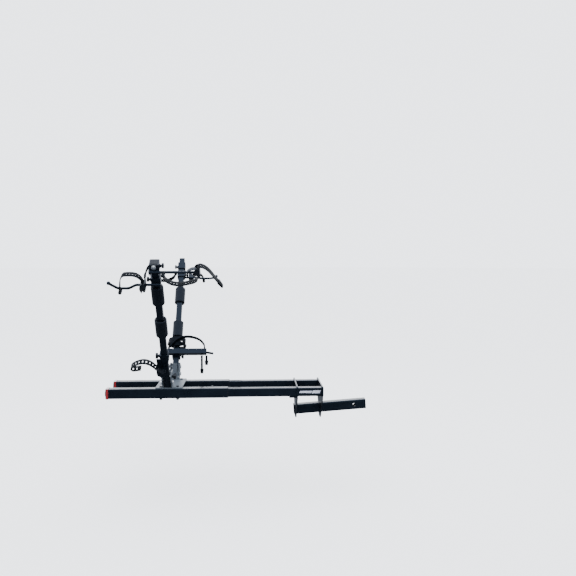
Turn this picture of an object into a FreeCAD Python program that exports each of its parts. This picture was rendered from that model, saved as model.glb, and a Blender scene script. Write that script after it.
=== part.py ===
import FreeCAD, Part
import math
import os

# Hitch mounted rack for two bicycles: a twin-rail slide-out base with two leaning posts whose
# arms and ladder straps hold the tyres.  Millimetres.  +X runs towards the vehicle, +Z is up,
# and the origin is the centre of the hitch pin hole in the tongue.

V = FreeCAD.Vector

# Driving dimensions: tongue
TONGUE_SIZE = 50.8
TONGUE_WALL = 4.8
TONGUE_BACK = -323.0
TONGUE_FRONT = 64.0
TONGUE_TILT = 4.0
PIN_HOLE = 16.3

# Rails and cross plates
RAIL_TOP = 117.5
RAIL_OFFSET = 108.0
OUTER_SIZE = 50.8
OUTER_WALL = 2.0
OUTER_BACK = -1298.0
OUTER_FRONT = -677.0
INNER_SIZE = 44.45
INNER_WALL = 3.0
INNER_BACK = -907.0
PLATE_THICKNESS = 6.35
REAR_PLATE_X = -317.5
FRONT_PLATE_X = -185.9
PLATE_HALF_WIDTH = 143.0
PLATE_RISE = 4.7
PLATE_FOOT_Z = -64.5
SLIDE_TRAVEL = 318.0
STOP_LENGTH = 37.0

# Bracket that carries the posts
BRACKET_X = -979.0
BASE_WIDTH = 138.0
BASE_THICKNESS = 6.0
BOLT_SPREAD = 43.0
BOLT_SIZE = 8.0
CLEVIS_GAP = 40.0
CLEVIS_STEEL = 6.0
WEB_TOP = 24.0
WEB_OUTSIDE = 107.0

# Posts
POST_SIZE = 31.75
POST_WALL = 2.5
POST_LEAN = 36.0
POST_TOP = 812.0
NEAR_POST_X = -985.0
FAR_POST_X = -973.0
PIVOT_UP = 40.0
CLAMP_RADIUS = 45.0
PIVOT_SIZE = 10.0
FOLD_RANGE = 34.0
PAD_DIAMETER = 61.0
PAD_LENGTH = 105.0

# Collars, arms and straps
COLLAR_SIZE = 44.45
COLLAR_HEIGHT = 42.0
COLLAR_GAP = 0.4
ARM_ROD = 12.7
STRAP_WIDTH = 25.0
STRAP_THICKNESS = 3.2
STUD_SIZE = 8.0
HIGH_LEVER_OPENED = 75.0
WELD_BITE = 1.2

# Values worked out from them
RAIL_AXIS_Z = RAIL_TOP - OUTER_SIZE / 2
BASE_TOP = RAIL_TOP + BASE_THICKNESS
OUTER_BOTTOM = RAIL_TOP - OUTER_SIZE
COLLAR_FACE = COLLAR_SIZE / 2
ARM_Y = -(COLLAR_FACE + ARM_ROD / 2 - WELD_BITE)
STRAP_Y = ARM_Y - 22.0

NEAR_FRAME = FreeCAD.Placement(V(NEAR_POST_X, -RAIL_OFFSET, RAIL_TOP),
                               FreeCAD.Rotation(V(1, 0, 0), POST_LEAN))
FAR_FRAME = FreeCAD.Placement(V(FAR_POST_X, RAIL_OFFSET, RAIL_TOP),
                              FreeCAD.Rotation(V(0, 0, 1), 180)
                              * FreeCAD.Rotation(V(1, 0, 0), POST_LEAN))


# ---------------------------------------------------------------- shape helpers

def box(x0, x1, y0, y1, z0, z1):
    return Part.makeBox(x1 - x0, y1 - y0, z1 - z0, V(x0, y0, z0))


def bar(start, end, diameter):
    """A round bar from one point to another."""
    run = V(*end) - V(*start)
    return Part.makeCylinder(diameter / 2, run.Length, V(*start), run)


def prism(width, depth, radius, z0, z1):
    """An upright bar with a rounded rectangular section centred on the Z axis."""
    solid = box(-width / 2, width / 2, -depth / 2, depth / 2, z0, z1)
    upright = [e for e in solid.Edges if abs(e.tangentAt(e.FirstParameter).z) > 0.9]
    return solid.makeFillet(radius, upright)


def square_tube(size, wall, radius, z0, z1):
    return prism(size, size, radius, z0, z1).cut(
        prism(size - 2 * wall, size - 2 * wall, max(radius - wall, 1.0), z0 - 1, z1 + 1))


def along_x(solid):
    """Turn an upright bar so that its length runs along +X."""
    turned = solid.copy()
    turned.rotate(V(0, 0, 0), V(0, 1, 0), 90)
    return turned


def moved(solid, x=0.0, y=0.0, z=0.0):
    copy = solid.copy()
    copy.translate(V(x, y, z))
    return copy


def placed(solid, placement):
    copy = solid.copy()
    copy.Placement = placement.multiply(copy.Placement)
    return copy


def plate_yz(points, x0, x1):
    """A flat plate with an outline in the YZ plane."""
    wire = Part.makePolygon([V(x0, y, z) for y, z in points + points[:1]])
    return Part.Face(wire).extrude(V(x1 - x0, 0, 0))


def plate_xz(points, y0, y1):
    """A flat plate with an outline in the XZ plane."""
    wire = Part.makePolygon([V(x, y0, z) for x, z in points + points[:1]])
    return Part.Face(wire).extrude(V(0, y1 - y0, 0))


def joined(solids):
    return solids[0].multiFuse(solids[1:]).removeSplitter()


def hexagon(across_flats, thickness):
    """A nut or bolt head standing on the XY plane."""
    radius = across_flats / math.sqrt(3)
    corners = [V(radius * math.cos(math.radians(60 * i)), radius * math.sin(math.radians(60 * i)), 0)
               for i in range(7)]
    return Part.Face(Part.makePolygon(corners)).extrude(V(0, 0, thickness))


def path(points, radius):
    """Straight runs joined by tangent arcs, as one wire."""
    edges = []
    start = points[0]
    for before, corner, after in zip(points, points[1:], points[2:]):
        into = (corner - before).normalize()
        out = (after - corner).normalize()
        half_turn = into.getAngle(out) / 2
        shorter = min((corner - before).Length, (after - corner).Length)
        bend = min(radius, 0.45 * shorter / math.tan(half_turn))
        setback = bend * math.tan(half_turn)
        arc_start = corner - into * setback
        arc_end = corner + out * setback
        middle = (into * -1 + out).normalize()
        arc_mid = corner + middle * (bend / math.cos(half_turn) - bend)
        edges.append(Part.LineSegment(start, arc_start).toShape())
        edges.append(Part.Arc(arc_start, arc_mid, arc_end).toShape())
        start = arc_end
    edges.append(Part.LineSegment(start, points[-1]).toShape())
    return Part.Wire(edges)


def bent_bar(points, diameter, radius):
    """A round bar bent along a route."""
    route = [V(*p) for p in points]
    circle = Part.Wire(Part.makeCircle(diameter / 2, route[0], route[1] - route[0]))
    return path(route, radius).makePipeShell([circle], True, True)


def band(points, y, width, thickness, radius=40.0):
    """A flat strap whose route lies in an XZ plane and whose width runs along Y."""
    route = [V(x, y, z) for x, z in points]
    along = (route[1] - route[0]).normalize()
    side = V(0, width / 2, 0)
    face = V(-along.z, 0, along.x) * (thickness / 2)
    start = route[0]
    corners = [start + side + face, start - side + face, start - side - face, start + side - face]
    section = Part.makePolygon(corners + corners[:1])
    return path(route, radius).makePipeShell([section], True, False)


def save(name, shape):
    shape.exportStep("parts/" + name + ".step")


os.makedirs("parts", exist_ok=True)


# ---------------------------------------------------------------- hitch frame (fixed)

def tongue_placement():
    return FreeCAD.Placement(V(0, 0, 0), FreeCAD.Rotation(V(0, 1, 0), -TONGUE_TILT))


def hitch_tongue():
    """Square tube that slides into a 2 inch receiver, drilled across for the hitch pin."""
    tube = along_x(square_tube(TONGUE_SIZE, TONGUE_WALL, 5.0, TONGUE_BACK, TONGUE_FRONT))
    hole = bar((0, -TONGUE_SIZE, 0), (0, TONGUE_SIZE, 0), PIN_HOLE)
    return placed(tube.cut(hole), tongue_placement())


def tongue_end_cap():
    """Moulded plug that closes the tail of the tongue."""
    flange = along_x(prism(TONGUE_SIZE, TONGUE_SIZE, 5.0, TONGUE_BACK - 3.0, TONGUE_BACK))
    inner = TONGUE_SIZE - 2 * TONGUE_WALL
    plug = along_x(prism(inner, inner, 2.0, TONGUE_BACK, TONGUE_BACK + 16.0))
    return placed(joined([flange, plug]), tongue_placement())


def cross_plate(x):
    """Laser-cut plate that ties both fixed rails to the tongue, with a window between its legs."""
    half = PLATE_HALF_WIDTH
    shoulder = OUTER_BOTTOM - 6.0
    outline = [(-half, RAIL_TOP + PLATE_RISE), (-half, shoulder), (-28, PLATE_FOOT_Z),
               (28, PLATE_FOOT_Z), (half, shoulder), (half, RAIL_TOP + PLATE_RISE)]
    plate = plate_yz(outline, x, x + PLATE_THICKNESS)
    corners = [e for e in plate.Edges if abs(e.tangentAt(e.FirstParameter).x) > 0.9]
    plate = plate.makeFillet(8.0, corners)
    window_outline = [(-40, 98), (-34, 64), (0, 40), (34, 64), (40, 98)]
    window = plate_yz(window_outline, x - 1, x + PLATE_THICKNESS + 1)
    window_corners = [e for e in window.Edges if abs(e.tangentAt(e.FirstParameter).x) > 0.9]
    plate = plate.cut(window.makeFillet(7.0, window_corners))
    for side in (-1, 1):
        rail_space = along_x(prism(INNER_SIZE, INNER_SIZE, 4.0, x - 1, x + PLATE_THICKNESS + 1))
        plate = plate.cut(moved(rail_space, 0, side * RAIL_OFFSET, RAIL_AXIS_Z))
    tongue_space = along_x(prism(TONGUE_SIZE, TONGUE_SIZE, 5.0, TONGUE_BACK, TONGUE_FRONT))
    return plate.cut(placed(tongue_space, tongue_placement()))


def inner_rail(side):
    """Fixed rail welded through both cross plates.  Its slots clear the bracket bolts."""
    front = FRONT_PLATE_X + PLATE_THICKNESS
    rail = along_x(square_tube(INNER_SIZE, INNER_WALL, 4.0, INNER_BACK, front))
    rail = moved(rail, 0, side * RAIL_OFFSET, RAIL_AXIS_Z)
    slot_end = BRACKET_X + BOLT_SPREAD + SLIDE_TRAVEL + 12.0
    slot = box(INNER_BACK - 1, slot_end, -6.25, 6.25, OUTER_BOTTOM, RAIL_TOP)
    rail = rail.cut(moved(slot, 0, side * RAIL_OFFSET, 0))
    if side < 0:
        inner_face = -RAIL_OFFSET + INNER_SIZE / 2
        for x in (LOCK_X, LOCK_X + SLIDE_TRAVEL):
            rail = rail.cut(bar((x, inner_face - 5, RAIL_AXIS_Z), (x, inner_face + 1, RAIL_AXIS_Z), 10.6))
    return rail


def rail_cap(size, wall, x, step):
    """A plug with a flange.  step is +1 when the flange faces +X and -1 when it faces -X."""
    inner = size - 2 * wall
    flange = along_x(prism(size, size, 4.0, min(x, x + 4 * step), max(x, x + 4 * step)))
    plug = along_x(prism(inner, inner, 2.0, min(x, x - 14 * step), max(x, x - 14 * step)))
    return moved(joined([flange, plug]), 0, 0, RAIL_AXIS_Z)


def inner_rail_caps():
    cap = rail_cap(INNER_SIZE, INNER_WALL, FRONT_PLATE_X + PLATE_THICKNESS, 1)
    return Part.makeCompound([moved(cap, 0, side * RAIL_OFFSET) for side in (-1, 1)])


def slide_stops():
    """Rubber blocks under the fixed rails that the sliding rails meet when pushed right in."""
    top = RAIL_AXIS_Z - INNER_SIZE / 2
    block = box(REAR_PLATE_X - STOP_LENGTH, REAR_PLATE_X, -15, 15, top - 9, top)
    block = block.makeFillet(3.0, [block.Edges[0], block.Edges[2]])
    return Part.makeCompound([moved(block, 0, side * RAIL_OFFSET) for side in (-1, 1)])


# The slide lock stands on the inward side of the near outer rail.
LOCK_X = -760.0
PIN_NOSE = 6.4

save("hitch_tongue", hitch_tongue())
save("tongue_end_cap", tongue_end_cap())
save("rear_cross_plate", cross_plate(REAR_PLATE_X))
save("front_cross_plate", cross_plate(FRONT_PLATE_X))
save("near_inner_rail", inner_rail(-1))
save("far_inner_rail", inner_rail(1))
save("inner_rail_caps", inner_rail_caps())
save("slide_stops", slide_stops())


# ---------------------------------------------------------------- sliding carriage

def bolt_places():
    return [(BRACKET_X + i * BOLT_SPREAD, side * RAIL_OFFSET) for i in (-1, 1) for side in (-1, 1)]


def outer_rail(side):
    rail = along_x(square_tube(OUTER_SIZE, OUTER_WALL, 4.0, OUTER_BACK, OUTER_FRONT))
    rail = moved(rail, 0, side * RAIL_OFFSET, RAIL_AXIS_Z)
    for x, y in bolt_places():
        rail = rail.cut(bar((x, y, OUTER_BOTTOM - 1), (x, y, RAIL_TOP + 1), BOLT_SIZE + 0.4))
    if side < 0:
        rail = rail.cut(bar((LOCK_X, -RAIL_OFFSET, RAIL_AXIS_Z), (LOCK_X, 0, RAIL_AXIS_Z), 10.4))
    return rail


def outer_rail_caps():
    cap = rail_cap(OUTER_SIZE, OUTER_WALL, OUTER_BACK, -1)
    return Part.makeCompound([moved(cap, 0, side * RAIL_OFFSET) for side in (-1, 1)])


def rail_reflectors():
    """Round red reflectors bonded to the end caps."""
    x = OUTER_BACK - 4.0
    lens = bar((x, 0, RAIL_AXIS_Z), (x - 4.0, 0, RAIL_AXIS_Z), 36.0)
    return Part.makeCompound([moved(lens, 0, side * RAIL_OFFSET) for side in (-1, 1)])


def slide_bushes():
    """Nylon sleeves that guide the fixed rails in the mouths of the sliding rails."""
    outside = OUTER_SIZE - 2 * OUTER_WALL
    bore = INNER_SIZE + 0.3
    sleeve = along_x(prism(outside, outside, 2.0, OUTER_FRONT - 50, OUTER_FRONT))
    collar = along_x(prism(OUTER_SIZE, OUTER_SIZE, 4.0, OUTER_FRONT, OUTER_FRONT + 3.0))
    opening = along_x(prism(bore, bore, 3.8, OUTER_FRONT - 51, OUTER_FRONT + 4))
    bush = moved(joined([sleeve, collar]).cut(opening), 0, 0, RAIL_AXIS_Z)
    return Part.makeCompound([moved(bush, 0, side * RAIL_OFFSET) for side in (-1, 1)])


def bracket_base_plate():
    half = RAIL_OFFSET + OUTER_SIZE / 2
    plate = moved(prism(BASE_WIDTH, 2 * half, 6.0, RAIL_TOP, BASE_TOP), BRACKET_X)
    for x, y in bolt_places():
        plate = plate.cut(bar((x, y, RAIL_TOP - 1), (x, y, BASE_TOP + 1), BOLT_SIZE + 0.4))
    return plate


def base_bolts():
    """Four bolts that clamp the base plate down through both sliding rails."""
    shank = bar((0, 0, OUTER_BOTTOM - 12), (0, 0, BASE_TOP), BOLT_SIZE)
    bolt = joined([shank, moved(hexagon(13.0, 5.3), 0, 0, BASE_TOP)])
    return Part.makeCompound([moved(bolt, x, y) for x, y in bolt_places()])


def base_nuts():
    nut = hexagon(13.0, 8.0).cut(bar((0, 0, -1), (0, 0, 9), BOLT_SIZE))
    washer = bar((0, 0, 8.0), (0, 0, 9.6), 19.0).cut(bar((0, 0, 7), (0, 0, 10), BOLT_SIZE))
    seat = OUTER_BOTTOM - 9.6
    return Part.makeCompound([moved(joined([nut, washer]), x, y, seat) for x, y in bolt_places()])


def lean_point(along):
    """Where a distance up a post lies, as outward Y and Z in the rack's frame."""
    lean = math.radians(POST_LEAN)
    return RAIL_OFFSET + along * math.sin(lean), RAIL_TOP + along * math.cos(lean)


PIVOT_Y, PIVOT_Z = lean_point(PIVOT_UP)


def clevis(side, post_x):
    """Two cheeks that hold the foot of one post, with a tapered web between them, standing on the
    base plate.  The clamp bolt rides in the cheeks' curved slots while the post is tipped upright."""
    half = CLEVIS_GAP / 2
    top = BASE_TOP + 90.0
    cheek_outline = [(WEB_OUTSIDE - CLEVIS_STEEL, BASE_TOP), (134, BASE_TOP), (174, 166), (174, 194),
                     (158, 208), (WEB_OUTSIDE - CLEVIS_STEEL, top)]
    cheek_outline = [(side * y, z) for y, z in cheek_outline]
    cheeks = [plate_yz(cheek_outline, post_x - half - CLEVIS_STEEL, post_x - half),
              plate_yz(cheek_outline, post_x + half, post_x + half + CLEVIS_STEEL)]
    web_y = sorted([side * (WEB_OUTSIDE - CLEVIS_STEEL), side * WEB_OUTSIDE])
    web_outline = [(post_x - half, BASE_TOP), (post_x + half, BASE_TOP),
                   (post_x + WEB_TOP / 2, top), (post_x - WEB_TOP / 2, top)]
    web = plate_xz(web_outline, web_y[0], web_y[1])
    body = joined(cheeks + [web])
    pivot = V(post_x - 50, side * PIVOT_Y, PIVOT_Z)
    across = V(100, 0, 0)
    body = body.cut(Part.makeCylinder(PIVOT_SIZE / 2 + 0.05, 100, pivot, V(1, 0, 0)))
    return body.cut(curved_slot(side, pivot, across))


def curved_slot(side, pivot, across):
    """The path of the clamp bolt about the pivot, from the leaning post to the upright one."""
    bolt = BOLT_SIZE / 2 + 0.3
    lean = math.radians(POST_LEAN)
    upright = math.radians(POST_LEAN - FOLD_RANGE - 2.0)

    def at(angle, radius):
        return V(pivot.x, pivot.y + side * radius * math.sin(angle), pivot.z + radius * math.cos(angle))

    middle = (lean + upright) / 2
    outer = Part.Arc(at(lean, CLAMP_RADIUS + bolt), at(middle, CLAMP_RADIUS + bolt),
                     at(upright, CLAMP_RADIUS + bolt)).toShape()
    inner = Part.Arc(at(upright, CLAMP_RADIUS - bolt), at(middle, CLAMP_RADIUS - bolt),
                     at(lean, CLAMP_RADIUS - bolt)).toShape()
    ends = [Part.LineSegment(at(upright, CLAMP_RADIUS + bolt), at(upright, CLAMP_RADIUS - bolt)).toShape(),
            Part.LineSegment(at(lean, CLAMP_RADIUS - bolt), at(lean, CLAMP_RADIUS + bolt)).toShape()]
    slot = Part.Face(Part.Wire([outer, ends[0], inner, ends[1]])).extrude(across)
    rounds = [Part.makeCylinder(bolt, across.x, at(angle, CLAMP_RADIUS), V(1, 0, 0))
              for angle in (lean, upright)]
    return slot.multiFuse(rounds)


def pivot_places():
    return [(NEAR_POST_X, -PIVOT_Y), (FAR_POST_X, PIVOT_Y)]


def pivot_bolts():
    """Hexagon bolts and nuts on which the posts tip."""
    half = CLEVIS_GAP / 2 + CLEVIS_STEEL
    bolts = []
    for x, y in pivot_places():
        shank = bar((x - half - 12, y, PIVOT_Z), (x + half, y, PIVOT_Z), PIVOT_SIZE)
        head = moved(along_x(hexagon(17.0, 6.4)), x + half, y, PIVOT_Z)
        nut = moved(along_x(hexagon(17.0, 9.0)), x - half - 9.0, y, PIVOT_Z)
        bolts.append(joined([shank, head, nut]))
    return Part.makeCompound(bolts)


def pivot_spacers():
    """Nylon washers that centre each post between its cheeks."""
    gap = (CLEVIS_GAP - POST_SIZE) / 2
    spacers = []
    for x, y in pivot_places():
        for start in (x - CLEVIS_GAP / 2, x + POST_SIZE / 2 + 0.3):
            ring = bar((start, y, PIVOT_Z), (start + gap - 0.3, y, PIVOT_Z), 24.0)
            spacers.append(ring.cut(bar((start - 1, y, PIVOT_Z), (start + gap + 1, y, PIVOT_Z), 10.2)))
    return Part.makeCompound(spacers)


def lock_pin_housing():
    """Threaded barrel welded to the near sliding rail for the spring lock pin."""
    face = -RAIL_OFFSET + OUTER_SIZE / 2
    barrel = bar((LOCK_X, face, RAIL_AXIS_Z), (LOCK_X, face + 24, RAIL_AXIS_Z), 20.0)
    return barrel.cut(bar((LOCK_X, face - 1, RAIL_AXIS_Z), (LOCK_X, face + 25, RAIL_AXIS_Z), 10.1))


def lock_pull_pin():
    """Lock pin shown pulled back.  It drops through the wall of the fixed rail to lock the slide."""
    tip = -RAIL_OFFSET + INNER_SIZE / 2 + 0.5
    nose = bar((LOCK_X, tip, RAIL_AXIS_Z), (LOCK_X, tip + 9, RAIL_AXIS_Z), PIN_NOSE)
    stem = bar((LOCK_X, tip + 7.5, RAIL_AXIS_Z), (LOCK_X, tip + 44, RAIL_AXIS_Z), 10.0)
    grip = bar((LOCK_X, tip + 40, RAIL_AXIS_Z - 22), (LOCK_X, tip + 40, RAIL_AXIS_Z + 22), 9.0)
    knob = bar((LOCK_X, tip + 34, RAIL_AXIS_Z), (LOCK_X, tip + 46, RAIL_AXIS_Z), 18.0)
    return joined([nose, stem, grip, knob])


save("near_outer_rail", outer_rail(-1))
save("far_outer_rail", outer_rail(1))
save("outer_rail_caps", outer_rail_caps())
save("rail_reflectors", rail_reflectors())
save("slide_bushes", slide_bushes())
save("bracket_base_plate", bracket_base_plate())
save("base_bolts", base_bolts())
save("base_nuts", base_nuts())
save("near_clevis", clevis(-1, NEAR_POST_X))
save("far_clevis", clevis(1, FAR_POST_X))
save("pivot_bolts", pivot_bolts())
save("pivot_spacers", pivot_spacers())
save("lock_pin_housing", lock_pin_housing())
save("lock_pull_pin", lock_pull_pin())


# ---------------------------------------------------------------- posts
# Posts, arms and straps are drawn upright in a post's own frame: Z runs up the post from the
# level of the rails' top, -Y points outwards, and the frame is then leaned and placed.

def post():
    tube = square_tube(POST_SIZE, POST_WALL, 4.0, PIVOT_UP - 16.0, POST_TOP)
    pivot_hole = bar((-30, 0, PIVOT_UP), (30, 0, PIVOT_UP), PIVOT_SIZE + 0.1)
    clamp_hole = bar((-30, 0, PIVOT_UP + CLAMP_RADIUS), (30, 0, PIVOT_UP + CLAMP_RADIUS), BOLT_SIZE)
    return tube.cut(pivot_hole).cut(clamp_hole)


def post_cap():
    inner = POST_SIZE - 2 * POST_WALL
    flange = prism(POST_SIZE, POST_SIZE, 4.0, POST_TOP, POST_TOP + 3.5)
    return joined([flange, prism(inner, inner, 2.0, POST_TOP - 18, POST_TOP)])


def clamp_bolt():
    """Carriage bolt through the post and both curved slots.  Its knob threads on at +X."""
    half = CLEVIS_GAP / 2 + CLEVIS_STEEL
    z = PIVOT_UP + CLAMP_RADIUS
    head = bar((-half - 4.3, 0, z), (-half - 0.3, 0, z), 20.0)
    return joined([head, bar((-half - 0.3, 0, z), (half + 20, 0, z), BOLT_SIZE)])


def foam_pads(centres):
    """Closed-cell foam sleeves that keep the bicycle frames off the post."""
    pads = []
    for centre in centres:
        z0 = centre - PAD_LENGTH / 2
        sleeve = Part.makeCylinder(PAD_DIAMETER / 2, PAD_LENGTH, V(0, 0, z0), V(0, 0, 1))
        rims = [e for e in sleeve.Edges if e.Closed]
        sleeve = sleeve.makeFillet(8.0, rims)
        pads.append(sleeve.cut(prism(32.5, 32.5, 4.0, z0 - 1, z0 + PAD_LENGTH + 1)))
    return Part.makeCompound(pads)


def star_knob(diameter, thickness, hub_length, stud_start):
    """Five-lobed clamping knob about the X axis, hub first, with its steel stud."""
    radius = diameter / 2
    parts = [bar((0, 0, 0), (hub_length, 0, 0), diameter * 0.5),
             bar((hub_length, 0, 0), (hub_length + thickness, 0, 0), diameter * 0.72)]
    for i in range(5):
        angle = math.radians(72 * i)
        y = radius * 0.68 * math.cos(angle)
        z = radius * 0.68 * math.sin(angle)
        parts.append(bar((hub_length, y, z), (hub_length + thickness, y, z), diameter * 0.32))
    if stud_start < 0:
        parts.append(bar((stud_start, 0, 0), (2, 0, 0), STUD_SIZE))
    return joined(parts)


def clamp_knob():
    """Knob that tightens the cheeks on the post, threaded on the end of the clamp bolt."""
    half = CLEVIS_GAP / 2 + CLEVIS_STEEL
    knob = moved(star_knob(32.0, 12.0, 9.0, 0.0), half + 0.3, 0, PIVOT_UP + CLAMP_RADIUS)
    bore = bar((half, 0, PIVOT_UP + CLAMP_RADIUS), (half + 20.3, 0, PIVOT_UP + CLAMP_RADIUS), 8.1)
    return knob.cut(bore)


PAD_CENTRES = {"near": (625.0, 424.0), "far": (550.0, 320.0)}
FRAMES = {"near": NEAR_FRAME, "far": FAR_FRAME}

for side, frame in FRAMES.items():
    save(side + "_post", placed(post(), frame))
    save(side + "_post_cap", placed(post_cap(), frame))
    save(side + "_clamp_bolt", placed(clamp_bolt(), frame))
    save(side + "_clamp_knob", placed(clamp_knob(), frame))
    save(side + "_foam_pads", placed(foam_pads(PAD_CENTRES[side]), frame))


# ---------------------------------------------------------------- upper wheel arms
# Each arm unit is drawn pointing to +X.  A unit that points to -X is mirrored.

def collar(centre, boss_height):
    """Square sleeve that slides on the post, with a threaded boss for its knob."""
    z0 = centre - COLLAR_HEIGHT / 2
    bore = POST_SIZE + 2 * COLLAR_GAP
    sleeve = prism(COLLAR_SIZE, COLLAR_SIZE, 5.0, z0, z0 + COLLAR_HEIGHT)
    boss = bar((COLLAR_FACE - 1, 0, boss_height), (COLLAR_FACE + 5, 0, boss_height), 18.0)
    body = joined([sleeve, boss]).cut(prism(bore, bore, 4.2, z0 - 1, z0 + COLLAR_HEIGHT + 1))
    return body.cut(bar((bore / 2 - 1, 0, boss_height), (COLLAR_FACE + 6, 0, boss_height), 8.1))


def knob_on_collar(height, diameter, thickness, hub_length):
    stud_start = POST_SIZE / 2 + COLLAR_GAP - COLLAR_FACE - 5.0
    knob = star_knob(diameter, thickness, hub_length, stud_start)
    return moved(knob, COLLAR_FACE + 5.3, 0, height)


def buckle_frame(origin_x, origin_z, facing_post):
    """Where a ratchet buckle sits.  Its base stands up the post's direction, and its pin and
    lever are on the side of the post or on the side away from it."""
    turn = FreeCAD.Rotation(V(0, 1, 0), -90) if facing_post else FreeCAD.Rotation(V(1, 0, 1), 180)
    return FreeCAD.Placement(V(origin_x, STRAP_Y, origin_z), turn)


def buckle_base():
    """Pressed steel base with two cheeks and the pin that the lever turns on."""
    floor = box(0, 46, -15, 15, -2.5, 0)
    outline = [(0, -2.5), (46, -2.5), (46, 7), (35, 19), (20, 20), (9, 11), (0, 6)]
    cheeks = [plate_xz(outline, -15, -12.8), plate_xz(outline, 12.8, 15)]
    pin = bar((27, -16.5, 13), (27, 16.5, 13), 5.0)
    return joined([floor, cheeks[0], cheeks[1], pin])


def buckle_lever(opened):
    """Curved thumb lever with its hub on the buckle's pin, opened by an angle."""
    hub = bar((27, -12.3, 13), (27, 12.3, 13), 11.0)
    outline = [(27, 18.4), (14, 20.5), (-6, 19), (-24, 13), (-27, 15.5), (-7, 23), (14, 25), (29, 18)]
    paddle = plate_xz(outline, -11.0, 11.0)
    lever = joined([hub, paddle]).cut(bar((27, -13, 13), (27, 13, 13), 5.1))
    lever.rotate(V(27, 0, 13), V(0, 1, 0), opened)
    return lever


def strap_with_eye(points, eye):
    """Ladder strap with a moulded eye that turns on the arm's anchor peg."""
    strap = band(points, STRAP_Y, STRAP_WIDTH, STRAP_THICKNESS)
    half = STRAP_WIDTH / 2
    ring = bar((eye[0], STRAP_Y - half, eye[1]), (eye[0], STRAP_Y + half, eye[1]), 17.0)
    hole = bar((eye[0], STRAP_Y - half - 1, eye[1]), (eye[0], STRAP_Y + half + 1, eye[1]), 8.6)
    return joined([strap, ring]).cut(hole)


def anchor_peg(x, z):
    """Headed peg that stands out from the arm for the strap's eye."""
    outer = STRAP_Y - STRAP_WIDTH / 2
    return joined([bar((x, ARM_Y, z), (x, outer - 3.5, z), 8.0),
                   bar((x, outer - 0.4, z), (x, outer - 3.5, z), 14.0)])


def high_arm(unit):
    """Collar with a straight bar, a peg by the post and a tab for the buckle at the bar's end."""
    rod_z = unit["rod"]
    rod = bar((-24, ARM_Y, rod_z), (203, ARM_Y, rod_z), ARM_ROD)
    tab = box(202.5, 205.5, STRAP_Y - 14, ARM_Y + 6, rod_z - 8, rod_z + 34)
    peg = anchor_peg(42, rod_z + 5)
    return joined([collar(unit["collar"], unit["collar"]), rod, tab, peg])


def low_arm(unit):
    """Collar with a bar that dips for the tyre and turns up to a ball at its end."""
    rod_z = unit["rod"]
    dip = unit["dip"]
    route = [(-24, ARM_Y, rod_z), (88, ARM_Y, rod_z), (122, ARM_Y, rod_z - dip),
             (170, ARM_Y, rod_z - dip), (196, ARM_Y, rod_z - 2), (210, ARM_Y, rod_z + 10)]
    rod = bent_bar(route, ARM_ROD, 30.0)
    ball = Part.makeSphere(9.0, V(210, ARM_Y, rod_z + 10))
    tab = box(41.5, 44.0, STRAP_Y - 14, ARM_Y + 6, rod_z - 8, rod_z + 38)
    peg = anchor_peg(unit["eye"], rod_z - dip)
    return joined([collar(unit["collar"], unit["collar"]), rod, ball, tab, peg])


def high_strap(rod_z, tail):
    """Strap that hangs in a loop below the bar, runs up through the buckle and ends in a tail."""
    route = [(42, -3), (50, -27), (80, -47), (112, -51), (150, -43), (190, -30), (196.5, -4),
             (196.5, 50)] + tail
    return strap_with_eye([(x, rod_z + z) for x, z in route], (42, rod_z + 5))


def low_strap(rod_z, eye, dip, arch):
    """Strap that arches over the place of the tyre and runs down through the buckle."""
    route = [(eye, 8 - dip), (eye - 4, 0.5 * arch), (eye - 18, 0.95 * arch), (eye - 34, arch), (86, arch),
             (64, 0.82 * arch), (50, 0.5 * arch), (50, -14)]
    return strap_with_eye([(x, rod_z + z) for x, z in route], (eye, rod_z - dip))


LONG_TAIL = [(208, 60), (227, 36), (262, -14), (292, -52)]
STEEP_TAIL = [(206, 60), (216, 44), (224, 14), (229, -34)]
UPPER_UNITS = {
    "near_high": {"side": "near", "mirror": False, "collar": 793.0, "rod": 777.0, "tail": LONG_TAIL},
    "near_low": {"side": "near", "mirror": True, "collar": 716.0, "rod": 706.0, "dip": 20.0,
                 "eye": 158.0, "arch": 78.0},
    "far_high": {"side": "far", "mirror": False, "collar": 759.0, "rod": 743.0, "tail": STEEP_TAIL},
    "far_low": {"side": "far", "mirror": True, "collar": 700.0, "rod": 700.0, "dip": 6.0,
                "eye": 132.0, "arch": 38.0},
}


def in_place(solid, side, mirror):
    if mirror:
        solid = solid.mirror(V(0, 0, 0), V(1, 0, 0))
    return placed(solid, FRAMES[side])


for name, unit in UPPER_UNITS.items():
    rod_z = unit["rod"]
    if "dip" in unit:
        arm = low_arm(unit)
        strap = low_strap(rod_z, unit["eye"], unit["dip"], unit["arch"])
        buckle = buckle_frame(46.5, rod_z - 12.0, False)
        lever_opened = 0.0
    else:
        arm = high_arm(unit)
        strap = high_strap(rod_z, unit["tail"])
        buckle = buckle_frame(200.0, rod_z + 4.0, True)
        lever_opened = HIGH_LEVER_OPENED
    knob = knob_on_collar(unit["collar"], 25.0, 10.0, 4.0)
    pieces = {"_arm": arm, "_strap": strap, "_buckle": placed(buckle_base(), buckle),
              "_lever": placed(buckle_lever(lever_opened), buckle), "_knob": knob}
    for suffix, piece in pieces.items():
        save(name + suffix, in_place(piece, unit["side"], unit["mirror"]))


# ---------------------------------------------------------------- lower cradles

NEAR_CRADLE = 232.0
FAR_CRADLE = 158.0
CHANNEL_REACH = 170.0
THIN_STRAP = 14.0
TAIL_DROP = 21.0
TAILS = ((-829.0, 143.0), (-803.0, 190.0))


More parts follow.
